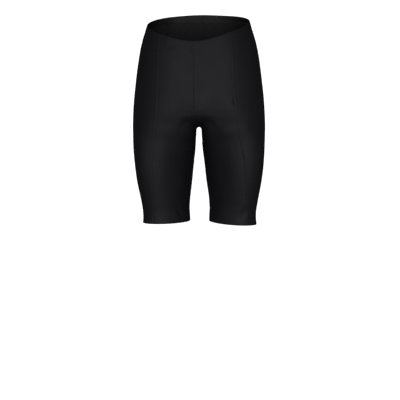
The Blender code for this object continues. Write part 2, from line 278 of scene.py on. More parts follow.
def seam_angle(side, facing, height):
    """The angle of a side panel's seam about the half's axis, from outward towards the front."""
    column = "front_seam" if facing == FRONT else "back_seam"
    x = SEAM[column](height) + side * facing * SEAM["turn"](height)
    middle = SECTION["inseam"](height)
    on_seam = reach_cloth((x, middle, height), (0.0, facing, 0.0))
    return np.arctan2(middle - on_seam[..., 1], x - SECTION["axis"](height))


def edge_angle(point):
    """The angle of a point of the inner edge about the half's axis."""
    across = point[..., 0] - SECTION["axis"](point[..., 2])
    return np.arctan2(SECTION["inseam"](point[..., 2]) - point[..., 1], across) % (2 * math.pi)


def cloth_place(side, around, down):
    """A point of the cloth, with x towards the side. around runs from the front inner edge to the
    back one, and down from the waist to the hem."""
    around, down = np.broadcast_arrays(np.asarray(around, float), np.asarray(down, float))
    front_edge = INNER_EDGE[side, FRONT](down)
    back_edge = INNER_EDGE[side, BACK](down)
    hem = HEM_MIDDLE[side] - HEM_DROP_OUTWARD[side]
    outside = np.interp(down, (0, 1, 2), (WAIST_SIDE, CROTCH, hem))
    near_edge = np.where(around < OUTER_SIDE, front_edge[..., 2], back_edge[..., 2])
    share = (1 + np.cos(2 * math.pi * around)) / 2
    height = outside + (near_edge - outside) * share
    point = place_on_section(side, around, height, front_edge, back_edge)
    turn = np.arctan2(point[..., 0], -point[..., 1]) + side * WAIST_TURN
    edge_level = np.where(around < OUTER_SIDE, WAIST_FRONT, WAIST_BACK)
    level = WAIST_SIDE + (edge_level - WAIST_SIDE) * share
    height = height + (waist_height(turn) - level) * fall(2 * down)
    return place_on_section(side, around, height, front_edge, back_edge)


def place_on_section(side, around, height, front_edge, back_edge):
    """The point at a height that lies in proportion between the inner edges and the seams."""
    angles = (
        edge_angle(front_edge),
        seam_angle(side, FRONT, height),
        seam_angle(side, BACK, height),
        edge_angle(back_edge) - 2 * math.pi,
    )
    angle = np.zeros(height.shape)
    for first, (start, end) in enumerate(zip(SEAM_PLACES, SEAM_PLACES[1:])):
        share = (around - start) / (end - start)
        between = angles[first] + (angles[first + 1] - angles[first]) * share
        angle = np.where((around >= start) & (around <= end), between, angle)
    start = (SECTION["axis"](height), SECTION["inseam"](height), height)
    return reach_cloth(start, (np.cos(angle), -np.sin(angle), 0.0))


def outward(point):
    """The cloth's outward direction at a point."""
    slopes = []
    for axis in range(3):
        ahead, behind = point.copy(), point.copy()
        ahead[..., axis] += SLOPE_STEP
        behind[..., axis] -= SLOPE_STEP
        rise = cloth_distance(*np.moveaxis(ahead, -1, 0)) - cloth_distance(*np.moveaxis(behind, -1, 0))
        slopes.append(rise)
    slope = np.stack(slopes, axis=-1)
    return slope / np.linalg.norm(slope, axis=-1, keepdims=True)


def to_world(side, grid):
    """Turn points with x towards a side into world metres, with the legs' slight sway."""
    sway = LEG_SWAY * (1 - fall((CROTCH - grid[..., 2]) / (CROTCH - HEM_MIDDLE[side])))
    x = side * grid[..., 0] + sway
    return np.stack([x, grid[..., 1], grid[..., 2]], axis=-1) * MM


# The panels' seams: a groove over each, and the allowance pressed under one side of it
GROOVE_DEPTH, GROOVE_WIDTH = 0.38, 0.9
ALLOWANCE_WIDTH, ALLOWANCE_RISE = 6.0, 0.25
ALLOWANCE_STARTS, ALLOWANCE_FADES_AT, ALLOWANCE_FADE = 1.2, 5.0, 2.5
PUCKER_HEIGHT, PUCKER_REACH, PUCKER_PHASE = 0.13, 5.0, 2.3

# The turned edges: a slight rise over the elastic, a groove under each row of stitches, and gathers
BAND_RISE, BAND_FADE = 0.3, 3.0
WAIST_BAND_END, HEM_BAND_END = 12.0, 26.0
WAIST_STITCH_ROWS = (11.0, 14.0)
HEM_STITCH_ROWS = (24.5, 28.0)
STITCH_GROOVE_DEPTH, STITCH_GROOVE_WIDTH = 0.2, 0.9
GATHER_HEIGHT, GATHER_REACH = 0.16, 8.0
HALF_GIRTH = 400.0

# Wave lengths along a seam, in millimetres, that don't repeat together, and each one's share
WAVES = ((11.0, 0.45), (17.3, 0.35), (7.1, 0.2))

# The main creases, each as its side, places, depth, width and ridge. It runs through two or
# three places, given by the angle about its half, with 0 outward, 90 in front and -90 behind, and by
# the height. The depth goes in, the ridge stands up beside it and the width is half of the trough, all
# in millimetres. A depth under 0 is a swell of the cloth, such as the broad ones over the front of the
# thighs.
CREASES = (
    (RIGHT, ((110.0, -31.0), (107.0, -46.0), (110.0, -66.0)), 0.8, 2.5, 0.4),
    (RIGHT, ((59.0, -10.0), (68.0, -25.0)), 1.2, 3.2, 0.7),
    (RIGHT, ((74.0, -37.0), (90.0, -41.0)), 0.8, 6.0, 0.2),
    (LEFT, ((76.5, -170.0), (78.5, -192.0)), 1.1, 3.2, 0.5),
    (LEFT, ((76.5, -308.0), (76.5, -342.0)), 0.9, 3.5, 0.4),
    (RIGHT, ((163.0, -311.0), (134.0, -314.0)), 1.4, 3.6, 1.0),
    (RIGHT, ((117.0, -449.0), (129.0, -471.0), (141.0, -492.0)), 1.6, 8.0, 0.6),
    (LEFT, ((66.0, -455.0), (72.0, -477.0), (79.5, -497.0)), 1.6, 7.5, 0.7),
    (LEFT, ((63.0, -257.0), (54.0, -298.0)), -1.0, 12.0, 0.0),
    (LEFT, ((126.0, -226.0), (121.0, -240.0), (118.0, -272.0)), 0.9, 8.0, 0.3),
    (RIGHT, ((122.0, -226.0), (116.0, -243.0), (114.0, -276.0)), 1.0, 8.0, 0.3),
    (LEFT, ((99.0, -250.0), (94.0, -340.0), (92.0, -450.0)), -2.4, 22.0, 0.0),
    (RIGHT, ((96.0, -245.0), (92.0, -340.0), (90.0, -455.0)), -1.4, 22.0, 0.0),
    (LEFT, ((60.0, -252.0), (88.0, -256.0), (122.0, -252.0)), -2.2, 21.0, 0.0),
    (RIGHT, ((62.0, -254.0), (90.0, -257.0), (122.0, -253.0)), -2.2, 21.0, 0.0),
    (LEFT, ((-66.0, -219.0), (-98.0, -236.0), (-131.0, -233.0)), 2.4, 9.0, 0.8),
    (RIGHT, ((-61.0, -223.0), (-95.0, -240.0), (-133.0, -236.0)), 2.1, 8.0, 0.9),
    (LEFT, ((-82.0, -259.0), (-121.0, -272.0)), 1.3, 6.0, 0.5),
    (RIGHT, ((-92.0, -263.0), (-126.0, -268.0)), 1.5, 6.5, 0.6),
    (LEFT, ((-100.0, -302.0), (-140.0, -290.0)), 0.9, 6.0, 0.4),
    (RIGHT, ((-84.0, -310.0), (-118.0, -296.0), (-142.0, -299.0)), 1.0, 7.0, 0.4),
    (LEFT, ((-96.0, 30.0), (-88.0, 6.0)), 0.7, 5.0, 0.3),
    (RIGHT, ((-104.0, 26.0), (-92.0, -4.0)), 0.8, 6.0, 0.3),
    (LEFT, ((-112.0, -120.0), (-118.0, -160.0)), 0.6, 8.0, 0.2),
    (RIGHT, ((-110.0, -132.0), (-114.0, -182.0)), 0.6, 8.0, 0.2),
    (LEFT, ((8.0, -18.0), (-22.0, -31.0)), 0.6, 7.0, 0.2),
    (RIGHT, ((14.0, -26.0), (-16.0, -34.0)), 0.7, 6.0, 0.3),
    (LEFT, ((-70.0, -447.0), (-94.0, -471.0)), 1.2, 7.0, 0.5),
    (RIGHT, ((-62.0, -440.0), (-88.0, -468.0), (-110.0, -474.0)), 1.1, 7.0, 0.5),
    (LEFT, ((168.0, -279.0), (196.0, -287.0)), 1.1, 4.0, 0.6),
    (RIGHT, ((172.0, -341.0), (204.0, -334.0)), 0.9, 4.0, 0.5),
)
CREASE_SAMPLES = 14
CREASE_REACH = 4.0
SWELL_REACH = 2.6
CREASE_CENTRE_BACK = SWEEP_BACK_OFFSET
RIDGE_PLACE, RIDGE_WIDTH = 1.7, 1.1
END_FADE = 0.7

# Faint ripples everywhere: their height, how far apart they lie and how they slant
RIPPLE_HEIGHT = 0.22
RIPPLE_RISE, RIPPLE_SLANT, RIPPLE_DRIFT, RIPPLES_ROUND = 19.0, 1.7, 47.0, 3


def uneven(length, phase):
    """A wave from -1 to 1 along a length in millimetres that never quite repeats."""
    total = 0 * length
    for i, (wave, share) in enumerate(WAVES):
        total = total + share * np.sin(2 * math.pi * length / wave + phase * (i + 1))
    return total


def bell(distance, width):
    """A smooth bump of height 1 that falls away over a width."""
    return np.exp(-(distance / width) ** 2)


def crease_line(places):
    """A crease's points on the cloth and the cloth's outward direction there."""
    at = np.linspace(0, len(places) - 1, len(places))
    t = np.linspace(0, len(places) - 1, CREASE_SAMPLES)
    angle, height = (np.polyval(np.polyfit(at, column, len(places) - 1), t) for column in zip(*places))
    angle = np.radians(angle)
    start = (SECTION["axis"](height), CREASE_CENTRE_BACK + 0 * height, height)
    points = reach_cloth(start, (np.cos(angle), -np.sin(angle), 0.0))
    return points, outward(points)


CREASE_LINES = [(side, *crease_line(places), *form) for side, places, *form in CREASES]


def crease_lift(side, point):
    """How far the creases and the faint ripples lift the cloth at points of one half."""
    height = point[..., 2]
    across = np.arctan2(CREASE_CENTRE_BACK - point[..., 1], point[..., 0] - SECTION["axis"](height))
    slanting = np.sin(height / RIPPLE_RISE + RIPPLE_SLANT * np.sin(2 * across + side))
    lift = RIPPLE_HEIGHT * slanting * np.sin(RIPPLES_ROUND * across + height / RIPPLE_DRIFT + side)
    for crease_side, line, normals, depth, width, ridge in CREASE_LINES:
        reach = width * (CREASE_REACH if ridge else SWELL_REACH)
        low, high = line.min(axis=0) - reach, line.max(axis=0) + reach
        near = np.all((point > low) & (point < high), axis=-1) & (crease_side == side)
        if near.any():
            lift[near] += one_crease(point[near], line, normals, depth, width, ridge)
    return lift


def one_crease(point, line, normals, depth, width, ridge):
    """A trough along a line with a ridge on one side, both running out at the ends."""
    best = np.full(len(point), np.inf)
    along = np.zeros(len(point))
    aside = np.zeros(len(point))
    for i in range(len(line) - 1):
        step = line[i + 1] - line[i]
        t = np.clip((point - line[i]) @ step / (step @ step), 0, 1)
        away = point - line[i] - t[:, None] * step
        distance = np.linalg.norm(away, axis=1)
        closer = distance < best
        best = np.where(closer, distance, best)
        along = np.where(closer, (i + t) / (len(line) - 1), along)
        aside = np.where(closer, np.sign(away @ np.cross(normals[i], step)) * distance, aside)
    ends = np.sin(math.pi * np.clip(along, 0, 1)) ** END_FADE
    beside = bell(aside - RIDGE_PLACE * width, RIDGE_WIDTH * width)
    return ends * (ridge * beside - depth * bell(aside, width))


def has_allowance(side, place, down):
    """Which way from a seam its allowance lies: 1 is towards the back, -1 towards the front."""
    if place == 0:
        return np.where((down < 1) & (side == LEFT), 1, 0)
    if place == 1:
        return np.where((down >= 1) | (side == LEFT), -1, 0)
    return np.where(down >= 0, 1 if place == AT_FRONT_SEAM else -1, 0)


def seam_lift(side, around, down, point):
    """The grooves over the seams, the allowances under the cloth beside them, and slight puckers."""
    lift = 0 * point[..., 0]
    along = down * TORSO_LENGTH
    for i, place in enumerate(SEAM_PLACES):
        distance = np.linalg.norm(point - cloth_place(side, place, down), axis=-1)
        way = np.sign(around - place)
        over = (way == has_allowance(side, place, down)) * (1 - bell(distance, ALLOWANCE_STARTS))
        lift += ALLOWANCE_RISE * over * fall((distance - ALLOWANCE_FADES_AT) / ALLOWANCE_FADE)
        lift -= GROOVE_DEPTH * bell(distance, GROOVE_WIDTH)
        lift += PUCKER_HEIGHT * uneven(along, side + PUCKER_PHASE * i) * np.exp(-distance / PUCKER_REACH)
    return lift


def band_lift(around, down):
    """The turned edges' rise over their elastic, their stitched grooves and the gathers there."""
    from_waist = down * TORSO_LENGTH
    from_hem = (2 - down) * LEG_LENGTH
    waist_band = fall((from_waist - WAIST_BAND_END) / BAND_FADE)
    hem_band = fall((from_hem - HEM_BAND_END) / BAND_FADE)
    lift = BAND_RISE * (waist_band + hem_band)
    for distance, rows in ((from_waist, WAIST_STITCH_ROWS), (from_hem, HEM_STITCH_ROWS)):
        for row in rows:
            lift = lift - STITCH_GROOVE_DEPTH * bell(distance - row, STITCH_GROOVE_WIDTH)
        gathers = bell(distance - rows[-1], GATHER_REACH) * GATHER_HEIGHT
        lift = lift + gathers * uneven(around * HALF_GIRTH, rows[-1])
    return lift


def dressed(side, around, down, seams=True):
    """Points of the cloth's face at a grid of places, and its outward direction there."""
    around, down = np.asarray(around, float), np.asarray(down, float)
    point = cloth_place(side, around, down)
    normal = outward(point)
    lift = crease_lift(side, point) + band_lift(around, down)
    if seams:
        lift = lift + seam_lift(side, around, down, point)
    return point + normal * lift[..., None], normal


def upward(side, around, down, step):
    """The direction along the cloth towards the waist, across one row of places."""
    ahead = cloth_place(side, around, np.full((1, 1), down - step))
    behind = cloth_place(side, around, np.full((1, 1), down))
    return (ahead - behind) / np.linalg.norm(ahead - behind, axis=-1, keepdims=True)


# Rows of the turned-in cloth, by their distance from the edge, and degrees between rows of the roll
WAIST_INSIDE_ROWS = (WAIST_TURN_DEPTH, 12.5, 9.0, 6.0, 3.5, 1.5, 0.0)
HEM_INSIDE_ROWS = (0.0, 1.5, 4.0, HEM_TURN_DEPTH)
ROLL_STEP = 15
EDGE_STEP = 0.01
COLUMN_GRADING = 0.85


def panel_profile():
    """The rows along a panel, from the turned waist's raw edge inside to the turned hem's. Each is
    its place down, how far the face and the reverse stand past the edge, and how deep they lie."""
    rows = []
    for inside in WAIST_INSIDE_ROWS:
        depth = 2 * WAIST_ROLL_RADIUS
        rows.append((inside / TORSO_LENGTH, 0.0, 0.0, depth, depth - CLOTH_THICKNESS))
    for degrees in range(180 - ROLL_STEP, 0, -ROLL_STEP):
        rows.append((0.0, *roll(degrees, WAIST_ROLL_RADIUS)))
    torso_rows = round(TORSO_LENGTH / ROW_STEP)
    leg_rows = round(LEG_LENGTH / ROW_STEP)
    torso, leg = np.linspace(0, 1, torso_rows), np.linspace(1, 2, leg_rows)
    for down in np.concatenate([torso, leg[1:]]):
        rows.append((down, 0.0, 0.0, 0.0, CLOTH_THICKNESS))
    for degrees in range(ROLL_STEP, 180, ROLL_STEP):
        past_face, past_back, face, back = roll(degrees, HEM_ROLL_RADIUS)
        rows.append((2.0, -past_face, -past_back, face, back))
    for inside in HEM_INSIDE_ROWS:
        depth = 2 * HEM_ROLL_RADIUS
        rows.append((2 - inside / LEG_LENGTH, 0.0, 0.0, depth, depth - CLOTH_THICKNESS))
    return np.array(rows).T


def roll(degrees, radius):
    """How far past the edge, and how deep, the face and the reverse are part way round a turned edge."""
    turn = math.radians(degrees)
    inner = radius - CLOTH_THICKNESS
    past = (radius * math.sin(turn), inner * math.sin(turn))
    deep = (radius * (1 - math.cos(turn)), radius - inner * math.cos(turn))
    return past + deep


def graded(count):
    """Fractions from 0 to 1 that lie close together at both ends."""
    even = np.linspace(0, 1, count + 1)
    return even - COLUMN_GRADING * np.sin(2 * math.pi * even) / (2 * math.pi)


def flat_place(grid):
    """Each point's place on the cut, in metres: across from the panel's middle, and down."""
    across = np.cumsum(np.linalg.norm(np.diff(grid, axis=1, prepend=grid[:, :1]), axis=-1), axis=1)
    down = np.cumsum(np.linalg.norm(np.diff(grid, axis=0, prepend=grid[:1]), axis=-1), axis=0)
    across -= across[:, -1:] / 2
    return np.stack([across, -down.mean(axis=1, keepdims=True) + 0 * across], axis=-1)


def shell(name, face, back, materials, flip=False, ring=False):
    """Make a thin closed body from grids of points for its face and its reverse."""
    rows, columns = face.shape[:2]
    index = np.arange(rows * columns).reshape(rows, columns)
    after = np.roll(index, -1, axis=1) if ring else index[:, 1:]
    before = index if ring else index[:, :-1]
    outside = np.stack([before[:-1], after[:-1], after[1:], before[1:]], axis=-1).reshape(-1, 4)
    far = rows * columns
    first = np.stack([before[0] + far, after[0] + far, after[0], before[0]], axis=-1)
    last = np.stack([before[-1], after[-1], after[-1] + far, before[-1] + far], axis=-1)
    groups = [outside, outside[:, ::-1] + far, first, last]
    if not ring:
        start, end = index[:, 0], index[:, -1]
        groups.append(np.stack([start[:-1] + far, start[:-1], start[1:], start[1:] + far], axis=-1))
        groups.append(np.stack([end[:-1], end[:-1] + far, end[1:] + far, end[1:]], axis=-1))
    faces = np.concatenate(groups)
    if not flip:
        faces = faces[:, ::-1]
    surface = np.zeros(len(faces), int)
    surface[len(outside):2 * len(outside)] = 1
    points = np.concatenate([face.reshape(-1, 3), back.reshape(-1, 3)])
    piece = mesh_piece(name, points, faces, materials)
    piece.data.polygons.foreach_set("material_index", np.minimum(surface, len(materials) - 1))
    flat = np.concatenate([flat_place(face).reshape(-1, 2)] * 2)
    cut = piece.data.uv_layers.new(name="cut")
    corners = np.zeros(len(piece.data.loops), int)
    piece.data.loops.foreach_get("vertex_index", corners)
    cut.data.foreach_set("uv", flat[corners].ravel())
    return piece


def mesh_piece(name, points, faces, materials):
    """Make a smooth mesh object from points and four-cornered faces, riding on the body."""
    mesh = bpy.data.meshes.new(name)
    mesh.vertices.add(len(points))
    mesh.vertices.foreach_set("co", points.astype(np.float32).ravel())
    mesh.loops.add(faces.size)
    mesh.loops.foreach_set("vertex_index", faces.ravel().astype(np.int32))
    mesh.polygons.add(len(faces))
    mesh.polygons.foreach_set("loop_start", np.arange(0, faces.size, 4, dtype=np.int32))
    mesh.update(calc_edges=True)
    mesh.validate()
    mesh.shade_smooth()
    mesh.set_sharp_from_angle(angle=SHARP_ANGLE)
    for material in materials:
        mesh.materials.append(material)
    piece = bpy.data.objects.new(name, mesh)
    bpy.context.scene.collection.objects.link(piece)
    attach(piece, "root")
    return piece


def make_panel(name, side, start, end, columns, materials):
    """A cut panel with its waist and its hem turned in."""
    down, past_face, past_back, face_depth, back_depth = (column[:, None] for column in panel_profile())
    around = (start + (end - start) * graded(columns))[None, :]
    outer_rows = np.flatnonzero(face_depth[:, 0] == 0)
    first, last = outer_rows[0], outer_rows[-1]
    point = np.zeros((len(down), around.size, 3))
    normal = np.zeros_like(point)
    point[first:last + 1], normal[first:last + 1] = dressed(side, around, down[first:last + 1])
    for rows, edge, at in ((slice(0, first), first, 0.0), (slice(last + 1, None), last, 2.0)):
        rolled = down[rows, 0] == at
        turned = ~rolled
        turned_point, turned_normal = dressed(side, around, down[rows][turned])
        point[rows][turned] = turned_point
        normal[rows][turned] = turned_normal
        point[rows][rolled] = point[edge]
        normal[rows][rolled] = normal[edge]
    waist_up, hem_up = (upward(side, around, edge, EDGE_STEP) for edge in (EDGE_STEP, 2.0))
    up = np.where((down < 1)[..., None], waist_up, hem_up)
    face = point + up * past_face[..., None] - normal * face_depth[..., None]
    back = point + up * past_back[..., None] - normal * back_depth[..., None]
    return shell(name, to_world(side, face), to_world(side, back), materials, flip=side == RIGHT)


RIB_PITCH, RIB_HEIGHT = 2.6, 0.16
ELASTIC_GAP = 0.1
HEM_ELASTIC_ROWS, HEM_ELASTIC_COLUMNS = 54, 220
WAIST_ELASTIC_ROWS, WAIST_ELASTIC_COLUMNS = 12, 180
WAIST_ELASTIC_FAR_EDGE = WAIST_ELASTIC_WIDTH - 2.0


def make_hem_elastic(name, side, material):
    """The wide knitted elastic inside a leg hem, with lengthwise ribs."""
    distance = np.linspace(ELASTIC_SET_BACK, HEM_ELASTIC_WIDTH, HEM_ELASTIC_ROWS)[::-1, None]
    around = np.linspace(0, 1, HEM_ELASTIC_COLUMNS + 1)[None, :-1]
    point, normal = dressed(side, around, 2 - distance / LEG_LENGTH, seams=False)
    outer_depth = 2 * HEM_ROLL_RADIUS + ELASTIC_GAP
    ribs = RIB_HEIGHT * np.abs(np.sin(math.pi * distance / RIB_PITCH))
    outer = point - normal * outer_depth
    inner = point - normal * (outer_depth + ELASTIC_THICKNESS + ribs[..., None])
    outer, inner = to_world(side, outer), to_world(side, inner)
    return shell(name, outer, inner, [material], flip=side == RIGHT, ring=True)


def make_waist_elastic(name, material):
    """The elastic that the waist's turned edge encloses, one ring round both halves."""
    distance = np.linspace(ELASTIC_SET_BACK, WAIST_ELASTIC_FAR_EDGE, WAIST_ELASTIC_ROWS)[:, None]
    columns = np.linspace(0, 1, WAIST_ELASTIC_COLUMNS + 1)
    outer_depth = CLOTH_THICKNESS + ELASTIC_GAP
    inner_depth = 2 * WAIST_ROLL_RADIUS - CLOTH_THICKNESS - ELASTIC_GAP
    outer, inner = [], []
    for side, around in ((LEFT, columns[:-1]), (RIGHT, columns[:0:-1])):
        point, normal = dressed(side, around[None, :], distance / TORSO_LENGTH, seams=False)
        outer.append(to_world(side, point - normal * outer_depth))
        inner.append(to_world(side, point - normal * inner_depth))
    outer, inner = (np.concatenate(halves, axis=1) for halves in (outer, inner))
    return shell(name, outer, inner, [material], ring=True)


# Sewing: the stitches on the face, and the looper and overlock threads inside
STITCH_LENGTH, STITCH_PITCH = 2.7, 3.3
STITCH_POINTS = 6
STITCH_BOW, STITCH_DIP = 0.3, 0.12
STITCH_END_SHARE = 0.35
THREAD_RADIUS = 0.24
THREAD_SIDES = 5
OVERLOCK_PITCH = 2.4
LINE_POINTS = 500


def world_line(side, around, down, depth):
    """A line on the cloth at a depth under its face, in world metres, with its outward directions."""
    point, normal = dressed(side, around, down)
    line = to_world(side, point - normal * depth)
    return line.reshape(-1, 3), (normal * (side, 1, 1)).reshape(-1, 3)


def thread_mesh(name, lines, normals, radii, material):
    """Make threads, each a tube round a middle line that runs into the cloth at its ends."""
    tangent = np.gradient(lines, axis=1)
    tangent /= np.linalg.norm(tangent, axis=-1, keepdims=True) + TINY
    aside = np.cross(tangent, normals)
    aside /= np.linalg.norm(aside, axis=-1, keepdims=True) + TINY
    lift = np.cross(aside, tangent)
    turn = np.linspace(0, 2 * math.pi, THREAD_SIDES, endpoint=False)
    ring = aside[:, :, None] * np.cos(turn)[:, None] + lift[:, :, None] * np.sin(turn)[:, None]
    points = lines[:, :, None] + ring * radii[None, :, None, None] * MM
    count, length = lines.shape[:2]
    index = np.arange(points[..., 0].size).reshape(count, length, THREAD_SIDES)
    after = np.roll(index, -1, axis=2)
    walls = np.stack([index[:, :-1], after[:, :-1], after[:, 1:], index[:, 1:]], axis=-1).reshape(-1, 4)
    return mesh_piece(name, points.reshape(-1, 3), walls, [material])


def along_line(line, values, places):
    """Values read at lengths along a line."""
    length = np.concatenate([[0], np.cumsum(np.linalg.norm(np.diff(line, axis=0), axis=1))])
    return np.stack([np.interp(places, length, column) for column in values.T], axis=-1), length[-1]


def ring_line(row_down, sides, depth):
    """A line all round at one place down: round the waist through both halves, or round one leg."""
    columns = np.linspace(0, 1, LINE_POINTS)
    lines, normals = [], []
    for side, around in zip(sides, (columns, columns[::-1])):
        line, normal = world_line(side, around[None, :], np.full((1, 1), row_down), depth)
        lines.append(line)
        normals.append(normal)
    return np.concatenate(lines), np.concatenate(normals)


def make_stitches(name, rows, sides, material):
    """Rows of separate stitches that dip into the cloth at both ends."""
    t = np.linspace(0, 1, STITCH_POINTS)
    bow = np.sin(math.pi * t)
    lines, normals = [], []
    for row in rows:
        line, normal = ring_line(row, sides, 0.0)
        _, length = along_line(line, line, np.zeros(1))
        starts = np.arange(0, length / MM - STITCH_LENGTH, STITCH_PITCH)
        places = (starts[:, None] + t * STITCH_LENGTH) * MM
        at = along_line(line, line, places.ravel())[0].reshape(*places.shape, 3)
        out = along_line(line, normal, places.ravel())[0].reshape(*places.shape, 3)
        lines.append(at + out * (STITCH_BOW * bow - STITCH_DIP)[:, None] * MM)
        normals.append(out)
    radii = THREAD_RADIUS * (STITCH_END_SHARE + (1 - STITCH_END_SHARE) * bow)
    return thread_mesh(name, np.concatenate(lines), np.concatenate(normals), radii, material)


def make_loops(name, near, far, sides, depth, material):
    """The looper thread inside a turned edge, zigzag between two rows."""
    low, normals = ring_line(near, sides, depth)
    high, _ = ring_line(far, sides, depth)
    length = along_line(low, low, np.zeros(1))[1]
    turns = int(length / MM / OVERLOCK_PITCH)
    places = np.linspace(0, length, 2 * turns)
    low, out = along_line(low, low, places)[0], along_line(low, normals, places)[0]
    high = along_line(high, high, places)[0]
    swing = (np.arange(2 * turns) % 2)[:, None]
    line = low * (1 - swing) + high * swing
    return thread_mesh(name, line[None], out[None], np.full(2 * turns, THREAD_RADIUS), material)


# Each seam with an allowance inside: its side, its place round the half, and its start and end down
SEAM_RUNS = (
    ("centre_front", LEFT, 0.0, 0.06, 0.995),
    ("centre_back", LEFT, 1.0, 0.06, 0.995),
    ("inseam_left", LEFT, 1.0, 1.01, 1.885),
    ("inseam_right", RIGHT, 1.0, 1.01, 1.885),
    ("front_side_left", LEFT, AT_FRONT_SEAM, 0.06, 1.885),
    ("front_side_right", RIGHT, AT_FRONT_SEAM, 0.06, 1.885),
    ("back_side_left", LEFT, AT_BACK_SEAM, 0.06, 1.885),
    ("back_side_right", RIGHT, AT_BACK_SEAM, 0.06, 1.885),
)
ALLOWANCE_THICKNESS = 1.0
ALLOWANCE_ROW, ALLOWANCE_LEAST_ROWS, ALLOWANCE_COLUMNS = 4.0, 12, 5
ALLOWANCE_STEP = 0.004
ALLOWANCE_PAST_SEAM = 0.4
ALLOWANCE_GAP, OVERLOCK_GAP = 0.05, 0.1
OVERLOCK_START, OVERLOCK_SWING = 0.25, 0.78


def along_rows(places, grid):
    """A column of points or directions, read at places between its rows."""
    rows = np.arange(len(grid))
    return np.stack([np.interp(places, rows, column) for column in grid[:, 0].T], axis=-1)


def make_allowance(name, side, place, start, end, cloth, thread):
    """A seam's allowance pressed flat inside, with the overlock thread over its raw edge."""
    rows = max(ALLOWANCE_LEAST_ROWS, int((end - start) * TORSO_LENGTH / ALLOWANCE_ROW))
    down = np.linspace(start, end, rows)[:, None]
    way = -1 if place in (AT_BACK_SEAM, 1.0) else 1
    seam = cloth_place(side, place, down)
    beside = cloth_place(side, place + way * ALLOWANCE_STEP, down)
    across = (beside - seam) / np.linalg.norm(beside - seam, axis=-1, keepdims=True)
    normal = outward(seam)
    lift = crease_lift(side, seam)
    reach = np.linspace(-ALLOWANCE_PAST_SEAM, ALLOWANCE_WIDTH, ALLOWANCE_COLUMNS)[None, :, None]
    top = seam + across * reach - normal * (CLOTH_THICKNESS + ALLOWANCE_GAP)
    top += normal * lift[..., None]
    bottom = top - normal * ALLOWANCE_THICKNESS
    flip = (side == RIGHT) != (way == -1)
    piece = shell(name, to_world(side, top), to_world(side, bottom), [cloth], flip=flip)
    turns = int((end - start) * TORSO_LENGTH / OVERLOCK_PITCH)
    swing = np.arange(2 * turns) % 2
    rows_at = np.linspace(0, rows - 1, 2 * turns)
    base, side_way, out = (along_rows(rows_at, grid) for grid in (seam, across, normal))
    lift = np.interp(rows_at, np.arange(rows), lift[:, 0])
    depth = CLOTH_THICKNESS + ALLOWANCE_THICKNESS + OVERLOCK_GAP - lift
    reach = ALLOWANCE_WIDTH * (OVERLOCK_START + OVERLOCK_SWING * swing)
    line = base + side_way * reach[:, None] - out * depth[:, None]
    threads = thread_mesh(
        f"{name}_overlock", to_world(side, line)[None], -(out * (side, 1, 1))[None],
        np.full(2 * turns, THREAD_RADIUS), thread)
    return piece, threads


def node_maker(material):
    """A short way to add nodes to a material and to link them."""
    tree = material.node_tree

    def add(kind, inputs=(), **settings):
        node = tree.nodes.new(kind)
        for name, value in settings.items():
            setattr(node, name, value)
        for name, value in dict(inputs).items():
            if isinstance(value, bpy.types.NodeSocket):
                tree.links.new(value, node.inputs[name])
            else:
                node.inputs[name].default_value = value
        return node

    return add


def knit_height(add, wale, course, zigzag):
    """The height of a fine warp knit: upright wales of slanting loops, from the cut's own place."""
    place = add("ShaderNodeUVMap", uv_map="cut")
    split = add("ShaderNodeSeparateXYZ", {0: place.outputs["UV"]})
    row = add("ShaderNodeMath", {0: split.outputs["Y"], 1: 1 / course}, operation="MULTIPLY")
    swing = add("ShaderNodeMath", {0: row.outputs[0], 1: 1.0}, operation="PINGPONG")
    column = add("ShaderNodeMath", {0: split.outputs["X"], 1: 1 / wale}, operation="MULTIPLY")
    loops = {0: swing.outputs[0], 1: zigzag, 2: column.outputs[0]}
    slanted = add("ShaderNodeMath", loops, operation="MULTIPLY_ADD")
    rib = add("ShaderNodeMath", {0: slanted.outputs[0], 1: 0.5}, operation="PINGPONG")
    loop = add("ShaderNodeMath", {0: row.outputs[0], 1: 0.5}, operation="PINGPONG")
    both = add("ShaderNodeMath", {0: loop.outputs[0], 1: 0.4, 2: rib.outputs[0]}, operation="MULTIPLY_ADD")
    return both.outputs[0]


# The knit's wale and course in metres, how far its loops slant and how deep its relief is, and how
# much the cloth's tone and gloss vary
WALE, COURSE, LOOP_SLANT, KNIT_RELIEF = 0.00055, 0.0009, 0.5, 0.00012
TONE_SPREAD, THREAD_SPREAD, GLOSS_SPREAD = 0.1, 0.25, 0.03
GRAIN_SHARE = 0.5
CLOTH_SPECULAR = 0.22


def set_tones(mix, colour, darker, lighter):
    """Set a mix's two colours to shares of one colour."""
    for socket, share in (("A", darker), ("B", lighter)):
        mix.inputs[socket].default_value = (*(share * c for c in colour), 1)


